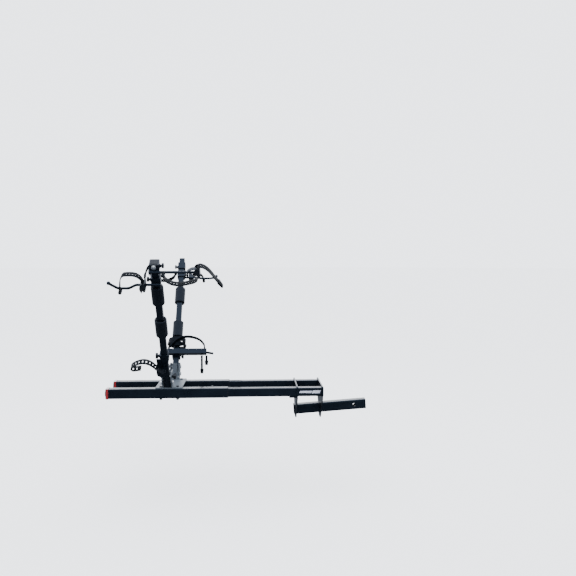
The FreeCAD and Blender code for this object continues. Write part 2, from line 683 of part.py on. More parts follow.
def near_lower_cradle():
    """Collar with a drop plate and a round-bottomed saddle that the tyre leans on."""
    face = -COLLAR_FACE
    plate = box(-2, 38, face - 5, face + 1, 150, NEAR_CRADLE)
    block = joined([box(-2, 41, face - 24, face, 148, 172),
                    bar((19.5, face - 24, 148), (19.5, face, 148), 43.0)])
    return joined([collar(NEAR_CRADLE, NEAR_CRADLE), plate, block])


def near_lower_strap():
    route = [(4, 178), (22, 188), (40, 208), (62, 225), (88, 236), (118, 232), (150, 212),
             (170, 184), (168, 158), (150, 142)]
    return band(route, -COLLAR_FACE - 30, STRAP_WIDTH, STRAP_THICKNESS)


def far_lower_cradle():
    """Collar with a channel across its inward face, web inwards, and a thin bar with a ball."""
    y0 = COLLAR_FACE - 1.0
    y1 = COLLAR_FACE + 25.0
    low = FAR_CRADLE - 15.0
    high = FAR_CRADLE + 15.0
    channel = box(-47, CHANNEL_REACH, y0, y1, low, high)
    channel = channel.cut(box(-48, CHANNEL_REACH + 1, y0 - 1, y1 - 3, low + 3, high - 3))
    middle = (y0 + y1) / 2
    web = box(CHANNEL_REACH - 6, CHANNEL_REACH, y0, y1, low, high)
    bar_end = (203, middle, FAR_CRADLE - 11)
    rod = bar((CHANNEL_REACH - 3, middle, FAR_CRADLE - 4), bar_end, 8.0)
    ball = Part.makeSphere(7.0, V(*bar_end))
    return joined([collar(FAR_CRADLE, FAR_CRADLE), channel, web, rod, ball])


def far_lower_strap():
    """Thin strap from the channel's end, up over and round the post, with two hanging tails."""
    y = COLLAR_FACE + 14.0
    top = FAR_CRADLE + 15.0
    route = [(160, top + 0.5), (150, top + 30), (112, top + 66), (60, top + 80), (24, top + 72)]
    arc = band(route, y, THIN_STRAP, 3.0)
    ellipse = Part.Ellipse(V(0, 0, 0), 55, 37).toShape()
    loop = Part.Face(Part.Wire(ellipse))
    hole = Part.Face(Part.Wire(Part.Ellipse(V(0, 0, 0), 52, 34).toShape()))
    wrap = moved(loop.cut(hole).extrude(V(0, 0, 26)), 0, 0, top + 56)
    return joined([arc, wrap])


def strap_tails():
    """Loose ends that hang from the outer end of the far channel."""
    outward, height = lean_point(FAR_CRADLE)
    lean = math.radians(POST_LEAN)
    inward = COLLAR_FACE + 12.0
    y = outward - inward * math.cos(lean)
    top = height + inward * math.sin(lean) - TAIL_DROP
    tails = []
    for x, bottom in TAILS:
        tails.append(joined([box(x - 5, x + 5, y - 2, y + 2, bottom, top),
                             box(x - 7, x + 7, y - 4, y + 4, bottom, bottom + 18)]))
    return tails


near_knob = knob_on_collar(NEAR_CRADLE, 30.0, 12.0, 4.0)
far_knob = knob_on_collar(FAR_CRADLE, 25.0, 10.0, 4.0)
far_strap = in_place(far_lower_strap(), "far", True)

save("near_lower_cradle", in_place(near_lower_cradle(), "near", True))
save("near_lower_strap", in_place(near_lower_strap(), "near", True))
save("near_lower_knob", in_place(near_knob, "near", True))
save("far_lower_cradle", in_place(far_lower_cradle(), "far", True))
save("far_lower_strap", Part.makeCompound([far_strap] + strap_tails()))
save("far_lower_knob", in_place(far_knob, "far", True))
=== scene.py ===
import math

import bmesh
import bpy
from mathutils import Matrix, Vector


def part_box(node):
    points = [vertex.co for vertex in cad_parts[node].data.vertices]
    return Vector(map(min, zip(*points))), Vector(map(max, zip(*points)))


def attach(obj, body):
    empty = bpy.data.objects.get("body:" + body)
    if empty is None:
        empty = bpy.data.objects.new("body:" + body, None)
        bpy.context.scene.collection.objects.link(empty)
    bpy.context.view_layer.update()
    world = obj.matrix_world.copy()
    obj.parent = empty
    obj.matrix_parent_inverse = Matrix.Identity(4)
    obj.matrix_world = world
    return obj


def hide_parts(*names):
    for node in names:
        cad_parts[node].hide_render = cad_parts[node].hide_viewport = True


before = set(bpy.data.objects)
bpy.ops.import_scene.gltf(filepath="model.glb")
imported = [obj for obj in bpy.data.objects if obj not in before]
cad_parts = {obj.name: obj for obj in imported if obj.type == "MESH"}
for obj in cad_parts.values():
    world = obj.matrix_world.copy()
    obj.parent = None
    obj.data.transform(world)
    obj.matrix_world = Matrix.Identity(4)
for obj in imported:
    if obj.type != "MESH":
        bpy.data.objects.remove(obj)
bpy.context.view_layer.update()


# ---------------------------------------------------------------- tongue, cross plates, fixed rails
# The root of the rack is mild steel: a square tongue and two square tubes welded through two
# laser-cut plates, degreased and powder coated black after welding.

def srgb(code):
    """An sRGB hex colour as linear RGBA."""
    parts = [int(code[i:i + 2], 16) / 255 for i in (1, 3, 5)]
    return [c / 12.92 if c <= 0.04045 else ((c + 0.055) / 1.055) ** 2.4 for c in parts] + [1.0]


def per_mm(size):
    """Texture scale that gives a feature of this many millimetres on coordinates in metres."""
    return 1000.0 / size


def add_node(tree, kind, inputs=None, **settings):
    """A shader node with its settings, and its inputs given a value or linked from a socket."""
    node = tree.nodes.new(kind)
    for name, value in settings.items():
        setattr(node, name, value)
    for name, value in (inputs or {}).items():
        if isinstance(value, bpy.types.NodeSocket):
            tree.links.new(value, node.inputs[name])
        else:
            node.inputs[name].default_value = value
    return node


def new_material(name):
    """An empty material, its tree, and the object coordinates that its patterns read."""
    material = bpy.data.materials.new(name)
    material.use_nodes = True
    tree = material.node_tree
    tree.nodes.clear()
    place = add_node(tree, "ShaderNodeTexCoord").outputs["Object"]
    return material, tree, place


def powder_coat(name, low, high, roughness, grain, shine=0.5, tint="#ffffff"):
    """Polyester powder baked to a thin skin.  It shows a fine orange peel, soft reflections that
    sharpen at a glance, and a faint cloudiness where the powder lies thicker."""
    material, tree, place = new_material(name)
    cloud = add_node(tree, "ShaderNodeTexNoise", {"Vector": place, "Scale": per_mm(70), "Detail": 3.0})
    colour = add_node(tree, "ShaderNodeMix", {"Factor": cloud.outputs["Fac"], 6: srgb(low), 7: srgb(high)},
                      data_type="RGBA")
    # Orange peel is about 1 mm across; it is drawn a little coarser so that it shows.
    peel = add_node(tree, "ShaderNodeTexNoise", {"Vector": place, "Scale": per_mm(grain), "Detail": 2.0})
    bump = add_node(tree, "ShaderNodeBump", {"Height": peel.outputs["Fac"], "Strength": 0.2,
                                             "Distance": 0.0002})
    gloss = add_node(tree, "ShaderNodeMapRange", {"Value": cloud.outputs["Fac"], "From Min": 0.3,
                                                  "From Max": 0.7, "To Min": roughness - 0.05,
                                                  "To Max": roughness + 0.05})
    shader = add_node(tree, "ShaderNodeBsdfPrincipled",
                      {"Base Color": colour.outputs[2], "Roughness": gloss.outputs["Result"],
                       "Normal": bump.outputs["Normal"], "IOR": 1.5, "Specular IOR Level": shine,
                       "Specular Tint": srgb(tint)})
    add_node(tree, "ShaderNodeOutputMaterial", {"Surface": shader.outputs["BSDF"]})
    return material


def paint(material, *nodes):
    """Gives CAD nodes a material without touching their meshes."""
    for name in nodes:
        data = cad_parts[name].data
        data.materials.clear()
        data.materials.append(material)


black_coat = powder_coat("powder_coated_mild_steel_black", "#06090d", "#0a0f14", 0.30, 1.8,
                         shine=0.24, tint="#a3bde4")
paint(black_coat, "hitch_tongue", "rear_cross_plate", "front_cross_plate", "near_inner_rail",
      "far_inner_rail", "slide_stops")


def finish_piece(name, bm, material, body, replaced=()):
    """Turns a bmesh in the row frame into a piece that rides on a body."""
    bmesh.ops.recalc_face_normals(bm, faces=bm.faces)
    mesh = bpy.data.meshes.new(name)
    bm.to_mesh(mesh)
    bm.free()
    piece = bpy.data.objects.new(name, mesh)
    bpy.context.scene.collection.objects.link(piece)
    mesh.materials.append(material)
    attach(piece, body)
    if replaced:
        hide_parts(*replaced)
    return piece


def smooth(piece, angle=35.0):
    """Smooth shading that keeps edges sharper than the angle."""
    piece.data.shade_smooth()
    piece.data.set_sharp_from_angle(angle=math.radians(angle))


BEAD_RADIUS = 0.0026
RIPPLE_PITCH = 0.003
CORNER_GAP = 0.004


def weld_bead(bm, start, end):
    """A straight run of weld metal with the ripples that a torch leaves, added to a bmesh."""
    run = end - start
    steps = max(2, round(run.length / RIPPLE_PITCH)) * 2
    verts = bmesh.ops.create_grid(bm, x_segments=steps, y_segments=8, size=0.5)["verts"]
    for v in verts:
        angle = 2 * math.pi * (v.co.y + 0.5)
        ripple = BEAD_RADIUS * (1.0 - 0.18 * (round((v.co.x + 0.5) * steps) % 2))
        v.co = (ripple * math.cos(angle), ripple * math.sin(angle), v.co.x * run.length)
    turn = run.to_track_quat("Z", "Y").to_matrix().to_4x4()
    bmesh.ops.transform(bm, verts=verts, matrix=Matrix.Translation((start + end) / 2) @ turn)
    bmesh.ops.remove_doubles(bm, verts=verts, dist=0.00001)
    bmesh.ops.holes_fill(bm, edges=[e for e in bm.edges if e.is_boundary], sides=8)


def weld_square(bm, x, y, z, half):
    """Weld metal round a square tube where it meets a plate that faces along X."""
    corners = [Vector((x, y + a * half, z + b * half)) for a, b in ((-1, -1), (1, -1), (1, 1), (-1, 1))]
    for start, end in zip(corners, corners[1:] + corners[:1]):
        pull = (end - start).normalized() * CORNER_GAP
        weld_bead(bm, start + pull, end - pull)


INNER_HALF = 0.0222
PLATE_MARGIN = 0.004
beads = bmesh.new()
for plate in ("rear_cross_plate", "front_cross_plate"):
    low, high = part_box(plate)
    for rail in ("near_inner_rail", "far_inner_rail"):
        rail_low, rail_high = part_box(rail)
        middle = (rail_low + rail_high) / 2
        for face in (low.x, high.x):
            if rail_low.x < face - PLATE_MARGIN and rail_high.x > face + PLATE_MARGIN:
                weld_square(beads, face, middle.y, middle.z, INNER_HALF)
smooth(finish_piece("frame_weld_beads", beads, black_coat, "hitch_frame"))


# ---------------------------------------------------------------- end caps and slide bushes
# Caps are pressed into the tube ends, and bushes sit between the sliding tubes.  They are injection
# moulded, with a satin skin and the fine spark-eroded texture of the mould.

def moulded_plastic(name, low, high, roughness, texture):
    """Injection-moulded plastic: an even colour, a satin skin and the fine grain of its mould."""
    material, tree, place = new_material(name)
    cloud = add_node(tree, "ShaderNodeTexNoise", {"Vector": place, "Scale": per_mm(25), "Detail": 2.0})
    colour = add_node(tree, "ShaderNodeMix", {"Factor": cloud.outputs["Fac"], 6: srgb(low), 7: srgb(high)},
                      data_type="RGBA")
    # Spark erosion is about 0.1 mm; it is drawn coarser so that it shows.
    pits = add_node(tree, "ShaderNodeTexVoronoi", {"Vector": place, "Scale": per_mm(texture)})
    bump = add_node(tree, "ShaderNodeBump", {"Height": pits.outputs["Distance"], "Strength": 0.25,
                                             "Distance": 0.0002})
    gloss = add_node(tree, "ShaderNodeMapRange", {"Value": cloud.outputs["Fac"], "To Min": roughness - 0.08,
                                                  "To Max": roughness + 0.08})
    shader = add_node(tree, "ShaderNodeBsdfPrincipled",
                      {"Base Color": colour.outputs[2], "Roughness": gloss.outputs["Result"],
                       "Normal": bump.outputs["Normal"], "IOR": 1.49, "Specular IOR Level": 0.2,
                       "Specular Tint": srgb("#c4d6f2")})
    add_node(tree, "ShaderNodeOutputMaterial", {"Surface": shader.outputs["BSDF"]})
    return material


black_plastic = moulded_plastic("moulded_polyethylene_black", "#0b0c0e", "#121417", 0.48, 0.7)
paint(black_plastic, "tongue_end_cap", "inner_rail_caps", "outer_rail_caps", "near_post_cap",
      "far_post_cap", "slide_bushes")


# ---------------------------------------------------------------- sliding rails and reflectors
# Two larger square tubes slide over the fixed ones.  They have the same powder coat.  Red acrylic
# reflectors, moulded with a pattern of small corner cubes, are pushed onto their ends.

paint(black_coat, "near_outer_rail", "far_outer_rail")


def reflector_red(name):
    """Red acrylic: a clear glossy skin over rows of small prisms, with painted light in its colour: each
    prism is lighter in the middle and darker towards its edges, as if the prisms catch the light.
    """
    material, tree, place = new_material(name)
    # Corner cubes about 2.5 mm across.
    cubes = add_node(tree, "ShaderNodeTexVoronoi", {"Vector": place, "Scale": per_mm(2.5),
                                                    "Randomness": 0.0}, distance="CHEBYCHEV")
    # Painted highlight and painted shade: the prism cells make the red lighter at each cell's middle and
    # darker towards its edges. The same cells also give the real relief through the bump.
    colour = add_node(tree, "ShaderNodeMix", {"Factor": cubes.outputs["Distance"], 6: srgb("#8c161a"),
                                              7: srgb("#52090b")}, data_type="RGBA")
    bump = add_node(tree, "ShaderNodeBump", {"Height": cubes.outputs["Distance"], "Strength": 0.5,
                                             "Distance": 0.0006})
    shader = add_node(tree, "ShaderNodeBsdfPrincipled",
                      {"Base Color": colour.outputs[2], "Roughness": 0.16, "Coat Weight": 0.6,
                       "Coat Roughness": 0.05, "Normal": bump.outputs["Normal"], "IOR": 1.49})
    add_node(tree, "ShaderNodeOutputMaterial", {"Surface": shader.outputs["BSDF"]})
    return material


red_acrylic = reflector_red("moulded_acrylic_red")
paint(red_acrylic, "rail_reflectors")

# Each reflector's skirt wraps the last stretch of its rail.
SKIRT_LENGTH = 0.010
SKIRT_WALL = 0.0012
SKIRT_OVERHANG = 0.001
SKIRT_GAP = 0.0002

skirts = bmesh.new()
for rail in ("near_outer_rail", "far_outer_rail"):
    low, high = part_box(rail)
    middle = Vector((0, (low.y + high.y) / 2, (low.z + high.z) / 2))
    inner = (high.y - low.y) / 2 + SKIRT_GAP
    outer = inner + SKIRT_WALL
    end, start = low.x - SKIRT_OVERHANG, low.x + SKIRT_LENGTH
    corners = ((end, inner), (end, outer), (start, outer), (start, inner))
    rings = [[skirts.verts.new(middle + Vector((x, a * reach, b * reach))) for x, reach in corners]
             for a, b in ((-1, -1), (1, -1), (1, 1), (-1, 1))]
    for ring, following in zip(rings, rings[1:] + rings[:1]):
        for k in range(4):
            skirts.faces.new((ring[k], ring[k - 1], following[k - 1], following[k]))
finish_piece("reflector_skirts", skirts, red_acrylic, "slide_carriage")


# ---------------------------------------------------------------- label
# A plain pale vinyl strip is stuck to the outside of the near fixed rail between the plates.  It
# carries no lettering: one slim bar and one taller block, cut from sheet 0.3 mm thick.

LABEL_HEIGHT = 0.093
LABEL_PARTS = ((-0.302, -0.238, 0.011), (-0.235, -0.194, 0.015))
LABEL_SLANT = 0.003
LABEL_THICKNESS = 0.0003
LABEL_SINK = 0.0001


def vinyl(name, low, high):
    """Calendered vinyl film: an even pale colour with a slight satin sheen."""
    material, tree, place = new_material(name)
    cloud = add_node(tree, "ShaderNodeTexNoise", {"Vector": place, "Scale": per_mm(15), "Detail": 2.0})
    colour = add_node(tree, "ShaderNodeMix", {"Factor": cloud.outputs["Fac"], 6: srgb(low), 7: srgb(high)},
                      data_type="RGBA")
    shader = add_node(tree, "ShaderNodeBsdfPrincipled", {"Base Color": colour.outputs[2],
                                                         "Roughness": 0.4, "IOR": 1.5})
    add_node(tree, "ShaderNodeOutputMaterial", {"Surface": shader.outputs["BSDF"]})
    return material


pale_vinyl = vinyl("calendered_vinyl_pale", "#aeb2c2", "#bfc3d0")
label = bmesh.new()
near_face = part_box("near_inner_rail")[0].y
for start, end, height in LABEL_PARTS:
    part = bmesh.ops.create_cube(label, size=1.0)["verts"]
    bmesh.ops.scale(label, verts=part, vec=(end - start, LABEL_THICKNESS, height))
    for v in part:
        v.co.x += LABEL_SLANT * (1 if v.co.z > 0 else -1)
    bmesh.ops.translate(label, verts=part,
                        vec=((start + end) / 2, near_face - LABEL_SINK, LABEL_HEIGHT))
upright_edges = [e for e in label.edges if abs(e.verts[0].co.y - e.verts[1].co.y) > 0.0002]
bmesh.ops.bevel(label, geom=upright_edges, offset=0.0015, segments=3, affect="EDGES", profile=0.5,
                material=-1)
finish_piece("near_rail_label", label, pale_vinyl, "hitch_frame")


# ---------------------------------------------------------------- bracket
# The base plate and the two clevises that hold the posts are thicker plate, laser cut, with a
# silver powder coat.  The base plate is bolted down with black zinc-plated bolts and nuts.

silver_coat = powder_coat("powder_coated_plate_silver", "#3b4249", "#495057", 0.42, 1.8, 0.25)
paint(silver_coat, "bracket_base_plate", "near_clevis", "far_clevis")


def zinc_plate(name, low, high, roughness):
    """Zinc over turned steel: a cool metal shine with fine turning marks and spangle."""
    material, tree, place = new_material(name)
    spangle = add_node(tree, "ShaderNodeTexNoise", {"Vector": place, "Scale": per_mm(6), "Detail": 4.0})
    colour = add_node(tree, "ShaderNodeMix", {"Factor": spangle.outputs["Fac"], 6: srgb(low),
                                              7: srgb(high)}, data_type="RGBA")
    gloss = add_node(tree, "ShaderNodeMapRange", {"Value": spangle.outputs["Fac"],
                                                  "To Min": roughness - 0.1, "To Max": roughness + 0.1})
    # Turning marks are about 0.4 mm apart; they are drawn at 0.8 mm so that they show.
    marks = add_node(tree, "ShaderNodeTexNoise", {"Vector": place, "Scale": per_mm(0.8), "Detail": 1.0})
    bump = add_node(tree, "ShaderNodeBump", {"Height": marks.outputs["Fac"], "Strength": 0.15,
                                             "Distance": 0.0001})
    shader = add_node(tree, "ShaderNodeBsdfPrincipled",
                      {"Base Color": colour.outputs[2], "Roughness": gloss.outputs["Result"],
                       "Metallic": 1.0, "Normal": bump.outputs["Normal"]})
    add_node(tree, "ShaderNodeOutputMaterial", {"Surface": shader.outputs["BSDF"]})
    return material


bright_zinc = zinc_plate("zinc_plated_steel_bright", "#a9adb0", "#c9cdd0", 0.32)
paint(bright_zinc, "pivot_bolts", "near_clamp_bolt", "far_clamp_bolt")
paint(black_coat, "lock_pin_housing")
dark_zinc = zinc_plate("black_zinc_plated_steel", "#2b2d30", "#3d4043", 0.36)
paint(dark_zinc, "lock_pull_pin", "pivot_spacers", "base_bolts", "base_nuts")

WASHER_RADIUS = 0.012
WASHER_THICKNESS = 0.003
NUT_FLANGE_RADIUS = 0.0095

washers = bmesh.new()
nut_low, nut_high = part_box("base_nuts")
for x in (nut_low.x + NUT_FLANGE_RADIUS, nut_high.x - NUT_FLANGE_RADIUS):
    for y in (nut_low.y + NUT_FLANGE_RADIUS, nut_high.y - NUT_FLANGE_RADIUS):
        disc = bmesh.ops.create_cone(washers, cap_ends=True, segments=36, radius1=WASHER_RADIUS * 0.92,
                                     radius2=WASHER_RADIUS, depth=WASHER_THICKNESS)["verts"]
        bmesh.ops.translate(washers, verts=disc, vec=(x, y, nut_high.z - WASHER_THICKNESS / 2))
smooth(finish_piece("base_nut_washers", washers, dark_zinc, "slide_carriage"))


# ---------------------------------------------------------------- posts
# Two square tubes lean outwards from the bracket, black powder coated like the rails.  What sits
# on a post is drawn upright in the post's own frame, with -Y outwards, and then leaned with it.

POST_LEAN = 36.0
near_rail_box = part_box("near_outer_rail")
RAIL_OFFSET = abs(near_rail_box[0].y + near_rail_box[1].y) / 2
RAIL_TOP = near_rail_box[1].z
COLLAR_FACE = 0.022225


def post_frame(side):
    """Places a shape from a post's own frame: Z up the post from the level of the rails' top."""
    low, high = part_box(side + "_post")
    foot = Matrix.Translation(((low.x + high.x) / 2, RAIL_OFFSET * (-1 if side == "near" else 1), RAIL_TOP))
    facing = Matrix.Rotation(0.0 if side == "near" else math.pi, 4, "Z")
    return foot @ facing @ Matrix.Rotation(math.radians(POST_LEAN), 4, "X")


POSTS = {side: post_frame(side) for side in ("near", "far")}
MIRROR_X = Matrix.Scale(-1.0, 4, (1, 0, 0))


def on_post(bm, side, mirrored=False):
    """Moves a bmesh from a post's own frame to its place, mirrored for a unit that points to -X."""
    turn = POSTS[side] @ MIRROR_X if mirrored else POSTS[side]
    bmesh.ops.transform(bm, verts=bm.verts, matrix=turn)


paint(black_coat, "near_post", "far_post")


# ---------------------------------------------------------------- foam sleeves
# Two sleeves of black EVA foam are pushed onto each post.  They are cut from extruded closed-cell
# tube with rounded ends, and swell a little where the square post doesn't hold them.

SLEEVE_RADIUS = 0.0296
SLEEVE_LENGTH = 0.1035
SLEEVE_ROUNDING = 0.004
SLEEVE_BORE = 0.0166
SLEEVE_STEPS = 64
BORE_HALF = 0.0161
BORE_CORNER = 0.004
HELD_RADIUS = 0.0235
SWELL_FRAMES = 12
SWELL_PRESSURE = 4.0
SWELL_LIMIT = 0.0012
SLEEVES = {"near": (0.625, 0.424), "far": (0.550, 0.320)}
FOAM_VOXEL = 0.004


def foam_material(name):
    """Closed-cell EVA foam: a dry matte skin with fine open cells and a soft grey bloom."""
    material, tree, place = new_material(name)
    # Cells are 0.3 to 1 mm; they are drawn about 1.6 mm so that they show.
    cells = add_node(tree, "ShaderNodeTexVoronoi", {"Vector": place, "Scale": per_mm(1.6)})
    bloom = add_node(tree, "ShaderNodeTexNoise", {"Vector": place, "Scale": per_mm(35), "Detail": 4.0})
    colour = add_node(tree, "ShaderNodeMix", {"Factor": bloom.outputs["Fac"], 6: srgb("#06080b"),
                                              7: srgb("#0b0e13")}, data_type="RGBA")
    bump = add_node(tree, "ShaderNodeBump", {"Height": cells.outputs["Distance"], "Strength": 0.3,
                                             "Distance": 0.0003})
    shader = add_node(tree, "ShaderNodeBsdfPrincipled",
                      {"Base Color": colour.outputs[2], "Roughness": 0.6, "Sheen Weight": 0.04,
                       "Sheen Roughness": 0.5, "Sheen Tint": srgb("#aab2c0"),
                       "Specular IOR Level": 0.2, "Specular Tint": srgb("#a3bde4"),
                       "Normal": bump.outputs["Normal"], "IOR": 1.45})
    add_node(tree, "ShaderNodeOutputMaterial", {"Surface": shader.outputs["BSDF"]})
    return material


def square_reach(angle, half, rounding):
    """How far a rounded square reaches from its centre in a direction."""
    c, s = abs(math.cos(angle)), abs(math.sin(angle))
    core = half - rounding
    reach = half / max(c, s)
    if min(c, s) * reach > core:
        b = core * (c + s)
        reach = b + math.sqrt(b * b - 2 * core * core + rounding * rounding)
    return reach


def sleeve_shape(bm, centre):
    """One sleeve: a rounded wall spun about the post, with its bore pressed to the post's square."""
    bottom, top = centre - SLEEVE_LENGTH / 2, centre + SLEEVE_LENGTH / 2
    arc = [(math.cos(math.radians(a)), math.sin(math.radians(a))) for a in range(0, 91, 18)]
    r, e = SLEEVE_RADIUS - SLEEVE_ROUNDING, SLEEVE_ROUNDING
    wall = [(r + e * c, top - e + e * s) for c, s in arc]
    foot = [(r + e * c, bottom + e - e * s) for c, s in reversed(arc)]
    profile = [(SLEEVE_BORE, bottom)] + foot + wall + [(SLEEVE_BORE, top)]
    verts = [bm.verts.new((x, 0, z)) for x, z in profile]
    edges = [bm.edges.new(pair) for pair in zip(verts, verts[1:] + verts[:1])]
    bmesh.ops.spin(bm, geom=verts + edges, cent=(0, 0, 0), axis=(0, 0, 1), dvec=(0, 0, 0),
                   angle=2 * math.pi, steps=SLEEVE_STEPS, use_merge=True)
    bmesh.ops.remove_doubles(bm, verts=bm.verts, dist=0.00001)
    for v in bm.verts:
        if v.co.xy.length < SLEEVE_BORE + 0.001:
            reach = square_reach(math.atan2(v.co.y, v.co.x), BORE_HALF, BORE_CORNER)
            v.co.xy = v.co.xy.normalized() * reach


def absorb(bm, other):
    """Moves everything in another bmesh into this one."""
    carrier = bpy.data.meshes.new("carrier")
    other.to_mesh(carrier)
    other.free()
    bm.from_mesh(carrier)
    bpy.data.meshes.remove(carrier)


def swell(piece):
    """Lets the foam swell under a little pressure, with its bore held, and keeps the result."""
    group = piece.vertex_groups.new(name="held")
    held = [v.index for v in piece.data.vertices if v.co.xy.length < HELD_RADIUS]
    group.add(held, 1.0, "REPLACE")
    rest = [v.co.copy() for v in piece.data.vertices]
    cloth = piece.modifiers.new("cloth", "CLOTH")
    cloth.settings.use_pressure = True
    cloth.settings.uniform_pressure_force = SWELL_PRESSURE
    cloth.settings.effector_weights.gravity = 0.0
    cloth.settings.vertex_group_mass = "held"
    cloth.point_cache.frame_start = 1
    cloth.point_cache.frame_end = SWELL_FRAMES
    scene = bpy.context.scene
    for number in range(1, SWELL_FRAMES + 1):
        scene.frame_set(number)
    evaluated = piece.evaluated_get(bpy.context.evaluated_depsgraph_get())
    moved = [v.co.copy() for v in evaluated.data.vertices]
    piece.modifiers.remove(cloth)
    scene.frame_set(1)
    for v, before, after in zip(piece.data.vertices, rest, moved):
        step = after - before
        if step.length > SWELL_LIMIT:
            step = step.normalized() * SWELL_LIMIT
        v.co = before + step
    piece.vertex_groups.clear()


eva_foam = foam_material("closed_cell_eva_foam_black")
for side, centres in SLEEVES.items():
    bm = bmesh.new()
    for centre in centres:
        one = bmesh.new()
        sleeve_shape(one, centre)
        absorb(bm, one)
    bmesh.ops.recalc_face_normals(bm, faces=bm.faces)
    mesh = bpy.data.meshes.new(side + "_foam_sleeves")
    bm.to_mesh(mesh)
    bm.free()
    sleeves = bpy.data.objects.new(side + "_foam_sleeves", mesh)
    bpy.context.scene.collection.objects.link(sleeves)
    remesh = sleeves.modifiers.new("remesh", "REMESH")
    remesh.mode = "VOXEL"
    remesh.voxel_size = FOAM_VOXEL
    evaluated = sleeves.evaluated_get(bpy.context.evaluated_depsgraph_get())
    dense = bpy.data.meshes.new_from_object(evaluated)
    sleeves.modifiers.remove(remesh)
    sleeves.data = dense
    swell(sleeves)
    sleeves.data.transform(POSTS[side])
    sleeves.data.materials.clear()
    sleeves.data.materials.append(eva_foam)
    sleeves.data.shade_smooth()
    finer = sleeves.modifiers.new("finer", "SUBSURF")
    finer.levels = 1
    finer.render_levels = 1
    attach(sleeves, side + "_upright")
    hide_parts(side + "_foam_pads")


# ---------------------------------------------------------------- arms and collars
# Each wheel arm is a square sleeve that slides on the post with a 12.7 mm round bar welded across
# its outer face.  The whole weldment is powder coated black.

paint(black_coat, "near_high_arm", "near_low_arm", "far_high_arm", "far_low_arm",
      "near_lower_cradle", "far_lower_cradle")

UNITS = {
    "near_high": {"side": "near", "mirror": False, "rod": 0.777},
    "near_low": {"side": "near", "mirror": True, "rod": 0.706},
    "far_high": {"side": "far", "mirror": False, "rod": 0.743},
    "far_low": {"side": "far", "mirror": True, "rod": 0.700},
}
STRAP_Y = -0.049375
ROD_HALF = 0.00635
BEAD_HALF_RUN = 0.020
BEAD_SINK = 0.0008

for name, unit in UNITS.items():
    beads = bmesh.new()
    for edge in (-1, 1):
        z = unit["rod"] + edge * (ROD_HALF - BEAD_SINK)
        ends = [Vector((x, -COLLAR_FACE - BEAD_SINK, z)) for x in (-BEAD_HALF_RUN, BEAD_HALF_RUN)]
        weld_bead(beads, *ends)
    on_post(beads, unit["side"], unit["mirror"])
    smooth(finish_piece(name + "_weld_beads", beads, black_coat, name + "_unit"))


# ---------------------------------------------------------------- star knobs
# Five-lobed knobs clamp the collars and the post brackets.  They are moulded from glass-filled
# nylon round a steel stud, with a recessed top and a slim hub underneath.

LOBES = 5
# For each knob: its side, whether it points to -X, and its height up the post, diameter, thickness
# and hub length in metres.
KNOBS = {
    "near_high_knob": ("near", False, 0.793, 0.025, 0.010, 0.004),
    "near_low_knob": ("near", True, 0.716, 0.025, 0.010, 0.004),
    "far_high_knob": ("far", False, 0.759, 0.025, 0.010, 0.004),
    "far_low_knob": ("far", True, 0.700, 0.025, 0.010, 0.004),
    "near_lower_knob": ("near", True, 0.232, 0.030, 0.012, 0.004),
    "far_lower_knob": ("far", True, 0.146, 0.025, 0.010, 0.004),
    "near_clamp_knob": ("near", False, 0.085, 0.032, 0.012, 0.009),
    "far_clamp_knob": ("far", False, 0.085, 0.032, 0.012, 0.009),
}
KNOB_BODIES = {"near_clamp_knob": "near_clamp", "far_clamp_knob": "far_clamp"}
BOSS_END = COLLAR_FACE + 0.0053
CHEEK_OUTSIDE = 0.0263

glass_nylon = moulded_plastic("moulded_glass_filled_nylon_black", "#0b0d0f", "#131518", 0.44, 0.6)


def star_head(bm, diameter, thickness, hub_length):
    """The knob about Z: a scalloped head with softened rims and a dished top on a round hub."""
    ring = bmesh.ops.create_circle(bm, cap_ends=True, segments=60, radius=diameter / 2)["verts"]
    for v in ring:
        angle = math.atan2(v.co.y, v.co.x)
        lobe = 0.87 + 0.13 * math.cos(LOBES * angle)
        v.co.x *= lobe
        v.co.y *= lobe
    bmesh.ops.translate(bm, verts=ring, vec=(0, 0, hub_length))
    grown = bmesh.ops.extrude_face_region(bm, geom=bm.faces[:], use_keep_orig=True)["geom"]
    bmesh.ops.translate(bm, verts=[g for g in grown if isinstance(g, bmesh.types.BMVert)],
                        vec=(0, 0, thickness))
    rims = [e for e in bm.edges if abs(e.verts[0].co.z - e.verts[1].co.z) < 1e-6]
    bmesh.ops.bevel(bm, geom=rims, offset=0.0016, segments=3, affect="EDGES", profile=0.5, material=-1)
    top = [f for f in bm.faces if f.calc_center_median().z > hub_length + thickness - 1e-5]
    bmesh.ops.inset_region(bm, faces=top, thickness=diameter * 0.09, depth=0.0)
    dished = [f for f in top if f.is_valid]
    bmesh.ops.inset_region(bm, faces=dished, thickness=0.0008, depth=-0.0012)
    hub = bmesh.ops.create_cone(bm, cap_ends=True, segments=28, radius1=diameter * 0.22,
                                radius2=diameter * 0.27, depth=hub_length + 0.001)["verts"]
    bmesh.ops.translate(bm, verts=hub, vec=(0, 0, (hub_length + 0.001) / 2))


for name, (side, mirrored, height, diameter, thickness, hub_length) in KNOBS.items():
    bm = bmesh.new()
    star_head(bm, diameter, thickness, hub_length)
    start = CHEEK_OUTSIDE if "clamp" in name else BOSS_END
    bmesh.ops.transform(bm, verts=bm.verts, matrix=Matrix.Translation((start, 0, height))
                        @ Matrix.Rotation(math.pi / 2, 4, "Y"))
    on_post(bm, side, mirrored)
    body = KNOB_BODIES.get(name, name)
    smooth(finish_piece(name + "_star", bm, glass_nylon, body, (name,)))


# ---------------------------------------------------------------- ratchet buckles
# Each buckle is a pressed steel channel with two cheeks, blackened, and a thumb lever that turns
# on a pin between them.  A spring holds the lever's pawl in the strap's ladder.

